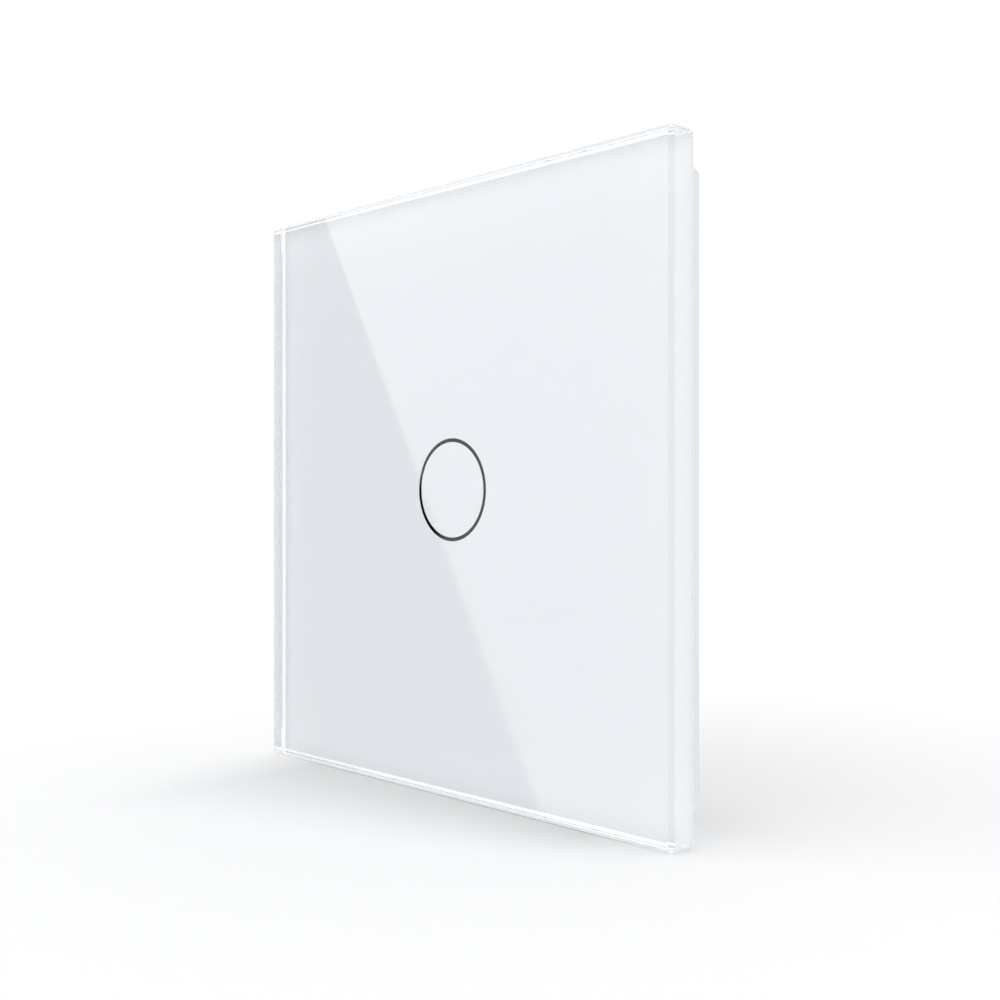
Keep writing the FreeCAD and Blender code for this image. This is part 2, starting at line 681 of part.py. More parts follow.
def gull_wing(width, root, span, shoulder):
    """One bent lead on the upper side of a chip: out of the body, down, and flat on the board."""
    foot = board_front
    points = [(root, shoulder), (span - LEAD_FOOT - LEAD_THICKNESS, shoulder),
              (span - LEAD_FOOT, foot), (span, foot),
              (span, foot + LEAD_THICKNESS), (span - LEAD_FOOT + LEAD_THICKNESS / 2, foot + LEAD_THICKNESS),
              (span - LEAD_FOOT, shoulder + LEAD_THICKNESS), (root, shoulder + LEAD_THICKNESS)]
    lead = prism(points, width, 0.0)
    lead.rotate(Vector(0, 0, 0), Vector(0, 1, 0), -90)
    return lead


def component_leads():
    """All the gull-wing leads of the controller and the regulator."""
    leads = []
    body_half = CONTROLLER_SIZE[2] / 2
    shoulder = board_front + CHIP_STANDOFF + CONTROLLER_SIZE[1] / 2 - LEAD_THICKNESS / 2
    lead = gull_wing(LEAD_WIDTH, body_half, LEAD_SPAN / 2, shoulder)
    for index in range(LEADS_PER_SIDE):
        offset = (index - (LEADS_PER_SIDE - 1) / 2) * LEAD_PITCH
        for side in (lead, turned(lead, 180)):
            leads.append(moved(side, controller_place[0] + offset, controller_place[1]))
    body_half = REGULATOR_SIZE[2] / 2
    shoulder = board_front + CHIP_STANDOFF + REGULATOR_SIZE[1] / 2 - LEAD_THICKNESS / 2
    lead = gull_wing(REGULATOR_LEAD_WIDTH, body_half, REGULATOR_SPAN / 2 + LEAD_FOOT / 2, shoulder)
    for offset in (-REGULATOR_PITCH, REGULATOR_PITCH):
        leads.append(moved(lead, regulator_place[0] + offset, regulator_place[1]))
    leads.append(moved(turned(lead, 180), *regulator_place))
    return leads


def chip_column(size, x, top, step, count):
    """A column of two-terminal chips, each a body between two slightly proud end caps."""
    width, height, depth = size
    chips = []
    for index in range(count):
        z = top - index * step
        body = block(width - 2 * END_CAP_LENGTH, depth, board_front + height, board_front, x, z)
        pieces = [body]
        for side in (-1, 1):
            cap = block(END_CAP_LENGTH, depth + 2 * END_CAP_PROUD, board_front + height + END_CAP_PROUD,
                        board_front, x + side * (width - END_CAP_LENGTH) / 2, z)
            pieces.append(cap)
        chips.append(joined(pieces))
    return chips


def bulk_capacitor():
    """Low moulded capacitor with drafted sides that stores the supply for the touch circuit."""
    width, height, depth = BULK_CAPACITOR_SIZE
    return chip_body((width, height - CHIP_STANDOFF, depth), bulk_capacitor_place, False)


def save(name, made):
    """Write one node, check its solids and print its size."""
    solids = []
    for shape in made if isinstance(made, list) else [made]:
        solids += shape.Solids
    for solid in solids:
        if not solid.isValid() or solid.Volume <= 0:
            raise ValueError(f"{name} has a bad solid")
    shape = solids[0] if len(solids) == 1 else Part.makeCompound(solids)
    shape.exportStep(os.path.join("parts", f"{name}.step"))
    box = shape.BoundBox
    print(f"{name}: {len(solids)} solid(s), {box.XLength:.2f} x {box.YLength:.2f} x {box.ZLength:.2f},"
          f" {shape.Volume:.1f} mm3")


os.makedirs("parts", exist_ok=True)
print(f"overall depth in front of the wall {glass_front:.2f}, frame {2 * half_frame:.2f} square")
save("glass_plate", glass_plate())
save("white_backing", white_backing())
save("ring_print", ring_print())
save("ring_diffuser", ring_diffuser())
save("bonding_tape", bonding_tape())
save("panel_frame", panel_frame())
save("mounting_yoke", mounting_yoke())
save("sensor_tray", sensor_tray())
save("tray_cover", tray_cover())
save("tray_screws", tray_screws())
save("sensor_board", sensor_board())
save("touch_spring", touch_spring())
save("light_guide", light_guide())
save("light_baffle", light_baffle())
save("indicator_leds", indicator_leds())
save("touch_controller", chip_body(CONTROLLER_SIZE, controller_place, True))
save("voltage_regulator", chip_body(REGULATOR_SIZE, regulator_place, False))
save("component_leads", component_leads())
save("chip_resistors", chip_column(RESISTOR_SIZE, column_place, resistor_top, RESISTOR_STEP,
                                   RESISTOR_COUNT))
save("chip_capacitors", chip_column(CAPACITOR_SIZE, -column_place, capacitor_top, CAPACITOR_STEP,
                                    CAPACITOR_COUNT))
save("bulk_capacitor", bulk_capacitor())
save("header_base", header_base())
save("header_pins", header_pins())
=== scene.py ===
# %% [markdown]
# A touch switch panel, seen from its right. The solids of the real pieces come packed as a fixed
# frame, in metres, with the glass facing -Y and +Z up. This file gives them their looks: it
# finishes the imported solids, and where a solid is too plain it puts a finer piece in its place.

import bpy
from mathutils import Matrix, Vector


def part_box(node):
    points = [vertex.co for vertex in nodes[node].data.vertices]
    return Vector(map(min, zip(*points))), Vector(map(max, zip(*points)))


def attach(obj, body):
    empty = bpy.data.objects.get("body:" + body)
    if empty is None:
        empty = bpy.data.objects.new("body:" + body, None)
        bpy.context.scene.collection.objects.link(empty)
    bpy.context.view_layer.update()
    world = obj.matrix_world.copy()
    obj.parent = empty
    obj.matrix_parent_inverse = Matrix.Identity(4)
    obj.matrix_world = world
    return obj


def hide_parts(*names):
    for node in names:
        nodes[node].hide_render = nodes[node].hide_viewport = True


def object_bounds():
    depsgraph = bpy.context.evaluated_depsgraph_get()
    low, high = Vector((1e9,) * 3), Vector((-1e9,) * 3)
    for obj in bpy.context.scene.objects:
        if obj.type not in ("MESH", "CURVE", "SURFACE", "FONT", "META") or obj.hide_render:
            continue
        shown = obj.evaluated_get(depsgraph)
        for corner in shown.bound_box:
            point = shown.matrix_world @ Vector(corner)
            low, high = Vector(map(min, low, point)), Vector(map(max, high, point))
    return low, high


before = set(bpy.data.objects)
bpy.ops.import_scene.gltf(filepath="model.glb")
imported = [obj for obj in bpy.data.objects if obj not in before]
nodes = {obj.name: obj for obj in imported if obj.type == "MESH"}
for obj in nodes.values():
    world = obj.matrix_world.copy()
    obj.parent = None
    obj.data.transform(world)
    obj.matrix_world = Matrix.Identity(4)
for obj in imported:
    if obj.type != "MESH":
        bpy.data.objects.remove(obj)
cad_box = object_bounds()

# %% Blender's own modules and the panel's millimetre
import math

import bmesh
import bpy
from mathutils import Vector

MM = 0.001
glass_low, glass_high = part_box("glass_plate")
print("glass, mm:", [round((glass_high[i] - glass_low[i]) / MM, 2) for i in range(3)])


def placed(name, data):
    """Puts a mesh, a lamp or a camera in the scene under this name."""
    made = bpy.data.objects.new(name, data)
    bpy.context.scene.collection.objects.link(made)
    return made


# %% [markdown]
# The camera stands to the right of the panel, level with its middle, and looks past it to the
# left. Its place came from fitting straight lines through the glass edges and an ellipse through
# the ring, so it is written as numbers. The small shift keeps the verticals upright while the
# horizon sits five thousandths of the picture above the middle.

# %% Camera
CAMERA_PLACE = Vector((137.24, -120.7, -0.70)) * MM
CAMERA_LOOKS = Vector((-0.7432, 0.6691, 0.0))
camera_data = bpy.data.cameras.new("product_camera")
camera_data.lens = 48.81
camera_data.sensor_width = 36.0
camera_data.shift_y = -0.00493
camera_data.clip_start = 0.005
camera_data.clip_end = 60.0
camera = placed("product_camera", camera_data)
camera.location = CAMERA_PLACE
camera.rotation_euler = CAMERA_LOOKS.to_track_quat("-Z", "Y").to_euler()
bpy.context.scene.camera = camera
print("camera stands", round(CAMERA_PLACE.length / MM), "mm from the wall plane's middle")

# %% [markdown]
# A product picture on white needs three things: a sky that is pure white where the camera meets
# it, a floor that is white too but still takes the soft shadow, and light from all around. The
# sky and the floor tell camera, mirror and see-through rays apart from lighting rays, so the
# background can be white without more light falling on the panel.


# %% Node helpers
def wire(tree, source, target):
    """Joins an output to an input in a node tree."""
    tree.links.new(source, target)


def plus(tree, first, second):
    """The sum of two outputs, held at 1."""
    node = tree.nodes.new("ShaderNodeMath")
    node.operation = "ADD"
    node.use_clamp = True
    wire(tree, first, node.inputs[0])
    wire(tree, second, node.inputs[1])
    return node.outputs[0]


def by_ray(tree, lighting, shown):
    """One shader for rays that gather light, another for rays that show the surroundings."""
    path = tree.nodes.new("ShaderNodeLightPath")
    mirrored = plus(tree, path.outputs["Is Glossy Ray"], path.outputs["Is Transmission Ray"])
    choice = tree.nodes.new("ShaderNodeMixShader")
    wire(tree, plus(tree, path.outputs["Is Camera Ray"], mirrored), choice.inputs["Fac"])
    wire(tree, lighting.outputs[0], choice.inputs[1])
    wire(tree, shown.outputs[0], choice.inputs[2])
    return choice.outputs[0]


# %% Sky
SKY_LIGHT, SKY_SHOWN = 0.90, 1.04
SKY_TINT = (0.985, 0.99, 1.0, 1.0)
world = bpy.data.worlds.new("white_studio")
world.use_nodes = True
sky = world.node_tree
sky.nodes.clear()
lighting = sky.nodes.new("ShaderNodeBackground")
lighting.inputs["Color"].default_value = SKY_TINT
lighting.inputs["Strength"].default_value = SKY_LIGHT
shown = sky.nodes.new("ShaderNodeBackground")
shown.inputs["Color"].default_value = (1.0, 1.0, 1.0, 1.0)
shown.inputs["Strength"].default_value = SKY_SHOWN
sky_output = sky.nodes.new("ShaderNodeOutputWorld")
wire(sky, by_ray(sky, lighting, shown), sky_output.inputs["Surface"])
bpy.context.scene.world = world
bpy.context.scene.view_settings.view_transform = "Standard"
print("sky light", SKY_LIGHT)

# %% [markdown]
# Light enters a clear plate, crosses it, bounces inside its bevels and leaves again, so each path
# may need more turns than a renderer's usual few, or the edges go grey.

# %% Turns of a light path
paths = bpy.context.scene.cycles
paths.max_bounces, paths.diffuse_bounces = 28, 10
paths.glossy_bounces, paths.transmission_bounces = 20, 24
print("a path may turn", paths.max_bounces, "times")

# %% [markdown]
# The floor is one flat sheet, so wide that its edge is never in the picture. It lies three
# hundredths of a millimetre below the panel, because two surfaces in one plane would flicker.
# Mirror rays and see-through rays pass it by and meet the white sky instead.

# %% Floor
FLOOR_HALF = 9.0
FLOOR_GAP = 0.03 * MM
floor_level = cad_box[0][2] - FLOOR_GAP
floor_mesh = bpy.data.meshes.new("studio_floor")
floor_form = bmesh.new()
bmesh.ops.create_grid(floor_form, x_segments=8, y_segments=8, size=FLOOR_HALF)
floor_form.to_mesh(floor_mesh)
floor_form.free()
studio_floor = placed("studio_floor", floor_mesh)
studio_floor.location = (0.0, 0.0, floor_level)
studio_floor.visible_glossy = False
studio_floor.visible_transmission = False
print("floor at", round(floor_level / MM, 2), "mm")


# %% More node helpers
def empty_finish(name):
    """A material without nodes, and its node tree."""
    material = bpy.data.materials.new(name)
    material.use_nodes = True
    material.node_tree.nodes.clear()
    return material, material.node_tree


def shows(tree, shader):
    """Makes a shader's output the look of the material."""
    wire(tree, shader, tree.nodes.new("ShaderNodeOutputMaterial").inputs["Surface"])


def own_point(tree):
    """The surface point in its object's own frame."""
    return tree.nodes.new("ShaderNodeTexCoord").outputs["Object"]


def own_axes(tree):
    """The X, Y and Z of that point."""
    split = tree.nodes.new("ShaderNodeSeparateXYZ")
    wire(tree, own_point(tree), split.inputs[0])
    return split.outputs


def stepped(tree, source, low, high, to_low, to_high, held=True):
    """A value carried from one range to another and, as a rule, held at its ends."""
    node = tree.nodes.new("ShaderNodeMapRange")
    node.clamp = held
    wire(tree, source, node.inputs["Value"])
    ends = {"From Min": low, "From Max": high, "To Min": to_low, "To Max": to_high}
    for name, value in ends.items():
        node.inputs[name].default_value = value
    return node.outputs["Result"]


def combined(tree, operation, first, second):
    """Two values, or a value and a number, put through a math node."""
    node = tree.nodes.new("ShaderNodeMath")
    node.operation = operation
    for socket, value in zip(node.inputs, (first, second)):
        if isinstance(value, (int, float)):
            socket.default_value = value
        else:
            wire(tree, value, socket)
    return node.outputs[0]


def blended(tree, share, first, second):
    """A value that goes from an output to a number as the share goes from 0 to 1."""
    node = tree.nodes.new("ShaderNodeMix")
    wire(tree, share, node.inputs[0])
    wire(tree, first, node.inputs[2])
    node.inputs[3].default_value = second
    return node.outputs[0]


# %% [markdown]
# In a picture of this kind the white table darkens in a narrow band where the panel stands on it,
# most of all in front. The band comes from how much of the sky each point of the table can see
# within a few centimetres, so it follows the panel. In front it is wide at the panel's left end
# and narrow at its right end, and it fades towards both ends, as in the picture. Here is how far
# the table looks for the panel, from place to place. All lengths are in millimetres.

# %% Reach of the floor's dark band
# The dark band is painted shade: an occlusion reading darkens the floor's own colour, not a lamp.
REACH_LEFT, REACH_RIGHT, REACH_REAR, REACH_END = 47.0, 8.0, 20.0, 4.0
PANEL_LEFT, PANEL_RIGHT = -40.0, 40.0
END_OUT, END_IN = -62.0, -18.0
FRONT_PLANE, REAR_PLANE = -8.0, 4.0
white_sweep, sweep = empty_finish("white_sweep")
sweep_x, sweep_y, _ = own_axes(sweep)
behind = stepped(sweep, sweep_y, FRONT_PLANE * MM, REAR_PLANE * MM, 0.0, 1.0)
narrowing = stepped(sweep, sweep_x, PANEL_LEFT * MM, PANEL_RIGHT * MM,
                    REACH_LEFT * MM, REACH_RIGHT * MM)
end_fade = stepped(sweep, sweep_x, END_OUT * MM, END_IN * MM, REACH_END * MM, REACH_LEFT * MM)
front_reach = combined(sweep, "MINIMUM", narrowing, end_fade)
open_sky = sweep.nodes.new("ShaderNodeAmbientOcclusion")
open_sky.samples = 8
wire(sweep, blended(sweep, behind, front_reach, REACH_REAR * MM), open_sky.inputs["Distance"])
print("contact band reaches", REACH_LEFT, "mm at the left and", REACH_RIGHT, "mm at the right")

# %% Painted shade of the band
CONTACT_FRONT, CONTACT_REAR = 0.52, 0.22
FADE_FROM, FADE_TO = 27.0, 41.5
from_middle = combined(sweep, "ABSOLUTE", sweep_x, 0.0)
front_depth = stepped(sweep, from_middle, FADE_FROM * MM, FADE_TO * MM, CONTACT_FRONT, 0.0)
depth = blended(sweep, behind, front_depth, CONTACT_REAR)
# Painted shade: the floor's colour and glow are multiplied by this, on top of the real shadows that
# the lamps cast.
hidden = combined(sweep, "SUBTRACT", 1.0, open_sky.outputs["AO"])
painted_shade = combined(sweep, "SUBTRACT", 1.0, combined(sweep, "MULTIPLY", hidden, depth))
print("the band takes up to", CONTACT_FRONT, "of the light in front")

# %% [markdown]
# Rays that only gather light don't see the band: for them the table is a lamp as bright as the
# sky, as a backlit table is, so the panel's face is lit as evenly from below as from above. A
# little light through the table lifts it to pure white further away, so no horizon shows.

# %% The floor's finish
FLOOR_WHITE = 0.72
GLOW_NEAR, GLOW_FAR = 0.26, 0.37
GLOW_FROM, GLOW_TO = 40.0, 190.0
TABLE_LIGHT = 0.95
tone = sweep.nodes.new("ShaderNodeVectorMath")
tone.operation = "SCALE"
tone.inputs[0].default_value = (FLOOR_WHITE, FLOOR_WHITE, FLOOR_WHITE)
wire(sweep, painted_shade, tone.inputs["Scale"])
paper = sweep.nodes.new("ShaderNodeBsdfDiffuse")
wire(sweep, tone.outputs[0], paper.inputs["Color"])
apart = sweep.nodes.new("ShaderNodeVectorMath")
apart.operation = "LENGTH"
wire(sweep, own_point(sweep), apart.inputs[0])
backlit = stepped(sweep, apart.outputs["Value"], GLOW_FROM * MM, GLOW_TO * MM,
                  GLOW_NEAR, GLOW_FAR)
glow = sweep.nodes.new("ShaderNodeEmission")
wire(sweep, combined(sweep, "MULTIPLY", painted_shade, backlit), glow.inputs["Strength"])
table = sweep.nodes.new("ShaderNodeAddShader")
wire(sweep, paper.outputs[0], table.inputs[0])
wire(sweep, glow.outputs[0], table.inputs[1])
backlight = sweep.nodes.new("ShaderNodeEmission")
backlight.inputs["Strength"].default_value = TABLE_LIGHT
shows(sweep, by_ray(sweep, backlight, table))
floor_mesh.materials.append(white_sweep)
print("the table glows from", GLOW_NEAR, "near the panel to", GLOW_FAR, "further away")

# %% [markdown]
# One very wide lamp, high in front, stands in for the studio's softbox. Its light comes from a
# large part of the sky, so its shadows are as soft as the floor's in a catalogue picture, and they
# fall behind the panel.

# %% Softbox
SOFTBOX_AIM = Vector((0.2, 0.75, -0.63))
softbox_data = bpy.data.lights.new("front_softbox", "SUN")
softbox_data.energy = 0.52
softbox_data.angle = math.radians(70)
softbox = placed("front_softbox", softbox_data)
softbox.rotation_euler = SOFTBOX_AIM.to_track_quat("-Z", "Y").to_euler()
print("softbox gives", softbox_data.energy, "W per square metre")

# %% [markdown]
# Glossy glass shows whatever stands in front of it. A photographer gives it a white card to make it
# look bright and a black flag to keep the rest clean, and the slanting line across the real panel
# is where one meets the other. Here both are one upright sheet in front of the panel, which only
# mirror rays meet, so it lights nothing. The line was found by mirroring the camera in the glass
# and following two points of it to the sheet.


# %% Card and flag
def mirror_card(name, corners, material):
    """A flat card, its corners in millimetres, that only mirror rays meet."""
    mesh = bpy.data.meshes.new(name)
    form = bmesh.new()
    form.faces.new([form.verts.new([value * MM for value in corner]) for corner in corners])
    form.to_mesh(mesh)
    form.free()
    mesh.materials.append(material)
    card = placed(name, mesh)
    for kind in ("camera", "diffuse", "transmission", "volume_scatter", "shadow"):
        setattr(card, "visible_" + kind, False)


CARD_DEPTH = 599.0
CARD_LEFT, CARD_RIGHT = -1700.0, 250.0
CARD_HIGH = 700.0
card_finish, card = empty_finish("card_and_flag")
mirror_card("reflected_card",
            [(CARD_LEFT, -CARD_DEPTH, -CARD_HIGH), (CARD_RIGHT, -CARD_DEPTH, -CARD_HIGH),
             (CARD_RIGHT, -CARD_DEPTH, CARD_HIGH), (CARD_LEFT, -CARD_DEPTH, CARD_HIGH)],
            card_finish)
print("card stands", CARD_DEPTH, "mm in front of the wall")

# %% The card's light, with its soft slanting edge
CARD_LINE = ((-869.0, 228.5), (-627.5, -188.4))
CARD_BLUR_TOP, CARD_BLUR_BOTTOM = 3.0, 13.0
CARD_LIGHT_AT_LINE, CARD_LIGHT_RIGHT = 2.7, 3.7
CARD_LIGHT_GROWS = 400.0
(top_x, top_z), (low_x, low_z) = CARD_LINE
card_x, _, card_z = own_axes(card)
line_x = stepped(card, card_z, low_z * MM, top_z * MM, low_x * MM, top_x * MM, held=False)
beyond = combined(card, "SUBTRACT", card_x, line_x)
blur = stepped(card, card_z, low_z * MM, top_z * MM, CARD_BLUR_BOTTOM * MM, CARD_BLUR_TOP * MM)
lit = stepped(card, combined(card, "DIVIDE", beyond, blur), -0.5, 0.5, 0.0, 1.0)
level = stepped(card, beyond, 0.0, CARD_LIGHT_GROWS * MM, CARD_LIGHT_AT_LINE, CARD_LIGHT_RIGHT)
card_glow = card.nodes.new("ShaderNodeEmission")
wire(card, combined(card, "MULTIPLY", lit, level), card_glow.inputs["Strength"])
shows(card, card_glow.outputs[0])
print("card line leans", round(math.degrees(math.atan2(low_x - top_x, top_z - low_z))), "degrees")

# %% [markdown]
# The bevels mirror other parts of the studio than the face does: the upper one looks up to the
# left, and the right side looks past the panel. A white card in each place draws these edges
# bright. Both cards stand behind the glass's front, so that the face itself never mirrors them,
# and they are only as large as the picture needs.


# %% Edge cards
def edge_card(name, corners, light):
    """A white card of even light for the bevels."""
    white, tree = empty_finish(name)
    lamp = tree.nodes.new("ShaderNodeEmission")
    lamp.inputs["Strength"].default_value = light
    shows(tree, lamp.outputs[0])
    mirror_card(name, corners, white)
    print(name, "gives", light)


edge_card("upper_edge_card",
          [(-760, 60, 450), (-250, 60, 450), (-250, 230, 450), (-760, 230, 450)], 1.5)
edge_card("side_card",
          [(490, 600, -300), (620, 600, -300), (620, 600, 300), (490, 600, 300)], 3.5)

# %% [markdown]
# Every finish below is one shader with its own fine grain. A grain is noise at the real size of
# the texture, so spark-eroded plastic has bumps of a tenth of a millimetre and rolled steel has
# long thin lines. The helper keeps the colour, roughness and other even values on the shader.

# %% Finish helpers
EVEN = (1.0, 1.0, 1.0)
DRIFT_LOW, DRIFT_HIGH = 0.3, 0.7


def finish(name, colour, roughness, **settings):
    """A material with one shader, named for what the real surface is."""
    material = bpy.data.materials.new(name)
    material.use_nodes = True
    shader = material.node_tree.nodes["Principled BSDF"]
    shader.inputs["Base Color"].default_value = (*colour, 1.0)
    shader.inputs["Roughness"].default_value = roughness
    for key, value in settings.items():
        socket = key.replace("_", " ").title().replace("Ior", "IOR")
        shader.inputs[socket].default_value = value
    return material


def texture_place(tree, stretch=EVEN):
    """The surface point in the panel's own frame, stretched for a directional grain."""
    mapping = tree.nodes.new("ShaderNodeMapping")
    mapping.inputs["Scale"].default_value = stretch
    wire(tree, own_point(tree), mapping.inputs["Vector"])
    return mapping.outputs["Vector"]


def noise(tree, size_mm, detail=2.0, stretch=EVEN):
    """Soft noise whose lumps are about this many millimetres across."""
    node = tree.nodes.new("ShaderNodeTexNoise")
    node.inputs["Scale"].default_value = 1.0 / (size_mm * MM)
    node.inputs["Detail"].default_value = detail
    wire(tree, texture_place(tree, stretch), node.inputs["Vector"])
    return node.outputs["Fac"]


def mottle(material, dark, pale, size_mm, stretch=EVEN):
    """Lets a finish's colour drift between two tones."""
    tree = material.node_tree
    ramp = tree.nodes.new("ShaderNodeValToRGB")
    for stop, position, tone in zip(ramp.color_ramp.elements, (DRIFT_LOW, DRIFT_HIGH),
                                    (dark, pale)):
        stop.position = position
        stop.color = (*tone, 1.0)
    wire(tree, noise(tree, size_mm, 2.0, stretch), ramp.inputs["Fac"])
    wire(tree, ramp.outputs["Color"], tree.nodes["Principled BSDF"].inputs["Base Color"])
    return material


def dress(node, material):
    """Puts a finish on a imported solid."""
    piece = nodes[node]
    if not piece.material_slots:
        piece.data.materials.append(material)
    for place in piece.material_slots:
        place.material = material
    print(node, "is finished in", material.name)


# %% [markdown]
# The front is a clear low-iron glass plate, 3.8 mm thick, with ground and polished edges. Real
# glass bends and mirrors light, and that is what draws the pale lines along the panel's edges:
# through the bevel and the narrow clear margin one sees round the print. So the plate stays a
# real refracting solid and isn't painted to look like one. Its index is the one at which these
# lines lie where the picture has them. Real glass has 1.52, which draws the band at the left end
# narrower and mirrors more.

# %% Glass
GLASS_INDEX = 1.32
low_iron_glass = finish("low_iron_glass", (0.992, 0.998, 0.996), 0.0,
                        ior=GLASS_INDEX, transmission_weight=1.0)
mottle(low_iron_glass, (0.990, 0.997, 0.995), (0.994, 0.999, 0.997), 25.0)
dress("glass_plate", low_iron_glass)

# %% [markdown]
# Each new piece rides on the body that carries it.
# Where it is finer than a imported solid it stands for that solid. One helper does this for all.


# %% From a mesh to a piece
def fitted(mesh, material, body, slot, *stands_for):
    """Turns a mesh into a piece of the panel under the mesh's own name."""
    mesh.materials.clear()
    mesh.materials.append(material)
    piece = placed(mesh.name, mesh)
    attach(piece, body)
    if stands_for:
        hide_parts(*stands_for)
    print(mesh.name, "has", len(mesh.polygons), "faces")


def closed_mesh(name, form, smooth=False):
    """A form's mesh with its faces turned outwards, smooth on its four-sided faces if wanted."""
    bmesh.ops.recalc_face_normals(form, faces=form.faces)
    mesh = bpy.data.meshes.new(name)
    form.to_mesh(mesh)
    form.free()
    for face in mesh.polygons:
        face.use_smooth = smooth and len(face.vertices) == 4
    return mesh


# %% [markdown]
# The print is fired onto the back of the glass, so no air lies between them. With an air gap the
# glass would act as a mirror from some sides, so each print's front reaches a hundredth of a
# millimetre into the glass. A flat layer is drawn as closed outlines, filled and given its
# thickness: a filled curve leaves the ring's window open by itself, with nothing to cut.


# %% Flat layers from outlines
def circle(radius, count=256):
    """Points round a circle in the panel's plane, in millimetres."""
    turns = [2 * math.pi * i / count for i in range(count)]
    return [(radius * math.cos(a), radius * math.sin(a)) for a in turns]


def rounded_square(half, radius, left_trim, count=12):
    """Points round a square with rounded corners, its left side moved in by the trim."""
    points = []
    for quarter in range(4):
        side_x = 1 if quarter in (0, 3) else -1
        side_z = 1 if quarter in (0, 1) else -1
        trim = left_trim if side_x < 0 else 0.0
        for step in range(count + 1):
            a = math.pi / 2 * (quarter + step / count)
            points.append((side_x * (half - radius) + radius * math.cos(a) + trim,
                           side_z * (half - radius) + radius * math.sin(a)))
    return points


def layer(name, outlines, front, back):
    """A flat mesh between two depths, in millimetres out from the wall, with its holes cut."""
    curve = bpy.data.curves.new(name, "CURVE")
    curve.dimensions = "2D"
    curve.fill_mode = "BOTH"
    curve.extrude = (front - back) / 2 * MM
    for points in outlines:
        spline = curve.splines.new("POLY")
        spline.points.add(len(points) - 1)
        for target, (x, z) in zip(spline.points, points):
            target.co = (x * MM, z * MM, 0.0, 1.0)
        spline.use_cyclic_u = True
    drawn = bpy.data.objects.new(name + "_outline", curve)
    mesh = bpy.data.meshes.new_from_object(drawn)
    mesh.name = name
    bpy.data.objects.remove(drawn)
    middle = -(front + back) / 2 * MM
    for vertex in mesh.vertices:
        x, z, out = vertex.co
        vertex.co = (x, middle - out, z)
    return mesh


# %% White print
BOND = 0.012
PRINT_THICKNESS = 0.1
PRINT_CORNER_RADIUS = 0.3
LEFT_TRIM = 0.2
RING_MIDDLE, RING_WIDTH = 6.55, 0.5
ring_inside, ring_outside = RING_MIDDLE - RING_WIDTH / 2, RING_MIDDLE + RING_WIDTH / 2
glass_back = -glass_high[1] / MM
print_front, print_back = glass_back + BOND, glass_back - PRINT_THICKNESS
print_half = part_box("white_backing")[1][0] / MM
white_print = finish("white_print", (0.925, 0.957, 0.995), 0.5)
mottle(white_print, (0.922, 0.954, 0.992), (0.928, 0.960, 0.998), 6.0)
field_outline = rounded_square(print_half, PRINT_CORNER_RADIUS, LEFT_TRIM)
fitted(layer("white_backing_print", [field_outline, circle(ring_outside)],
             print_front, print_back),
       white_print, "glass_panel", "white_print", "white_backing")
fitted(layer("touch_disc_print", [circle(ring_inside)], print_front, print_back),
       white_print, "glass_panel", "white_print")

# %% [markdown]
# Behind the ring-shaped window in the white print lies a smoked coat, which looks black until the
# lamps behind it are lit. It fills the window and overlaps the white behind it, so its section is
# a wide strip with a narrow step. Turning that section round the panel's middle makes the ring in
# one go, with even faces and nothing to cut.


# %% Turned shapes
def turn(form, profile, count, x=0.0, z=0.0):
    """Adds a ring to a form: a closed profile of (radius, depth) points turned about (x, z)."""
    rows = []
    for i in range(count):
        a = 2 * math.pi * i / count
        rows.append([form.verts.new(((x + r * math.cos(a)) * MM, -depth * MM,
                                     (z + r * math.sin(a)) * MM)) for r, depth in profile])
    for i, row in enumerate(rows):
        following = rows[(i + 1) % count]
        for k in range(len(profile)):
            after = (k + 1) % len(profile)
            form.faces.new((row[k], row[after], following[after], following[k]))


# %% Smoked ring
SMOKE_THICKNESS, SMOKE_OVERLAP, SMOKE_SINK = 0.05, 0.5, 0.001
RING_SIDES = 192
smoke_front, smoke_back = print_front - SMOKE_SINK, print_back - SMOKE_THICKNESS
smoke_inside, smoke_outside = ring_inside - SMOKE_OVERLAP, ring_outside + SMOKE_OVERLAP
smoked_print = finish("smoked_print", (0.004, 0.004, 0.005), 0.45, specular_ior_level=0.0)
mottle(smoked_print, (0.003, 0.003, 0.004), (0.006, 0.006, 0.007), 1.5)
smoke_form = bmesh.new()
turn(smoke_form,
     [(smoke_inside, smoke_back), (smoke_outside, smoke_back), (smoke_outside, print_back),
      (ring_outside, print_back), (ring_outside, smoke_front), (ring_inside, smoke_front),
      (ring_inside, print_back), (smoke_inside, print_back)], RING_SIDES)
fitted(closed_mesh("ring_print_coat", smoke_form),
       smoked_print, "glass_panel", "smoked_print", "ring_print")

# %% [markdown]
# Behind the ring an opal film and an opal ring spread the light of four small lamps. Both are a
# milky plastic, so light goes a short way in and comes out again, which the shader's subsurface
# part does. The foam tape is dull, and its fine cells are a relief in the shading.


# %% Fine relief
def grain(material, size_mm, height_mm, stretch=EVEN):
    """Gives a finish a fine relief."""
    tree = material.node_tree
    bump = tree.nodes.new("ShaderNodeBump")
    bump.inputs["Strength"].default_value = 1.0
    bump.inputs["Distance"].default_value = height_mm * MM
    wire(tree, noise(tree, size_mm, 3.0, stretch), bump.inputs["Height"])
    wire(tree, bump.outputs["Normal"], tree.nodes["Principled BSDF"].inputs["Normal"])
    return material


# %% Opal plastic and foam tape
opal = finish("opal_plastic", (0.90, 0.90, 0.88), 0.38,
              subsurface_weight=0.35, subsurface_scale=0.0006)
mottle(opal, (0.88, 0.88, 0.86), (0.92, 0.92, 0.90), 2.5)
dress("ring_diffuser", opal)
dress("light_guide", opal)
foam_tape = finish("foam_tape", (0.90, 0.90, 0.88), 0.9)
mottle(foam_tape, (0.84, 0.84, 0.82), (0.92, 0.92, 0.90), 0.35)
dress("bonding_tape", grain(foam_tape, 0.15, 0.03))

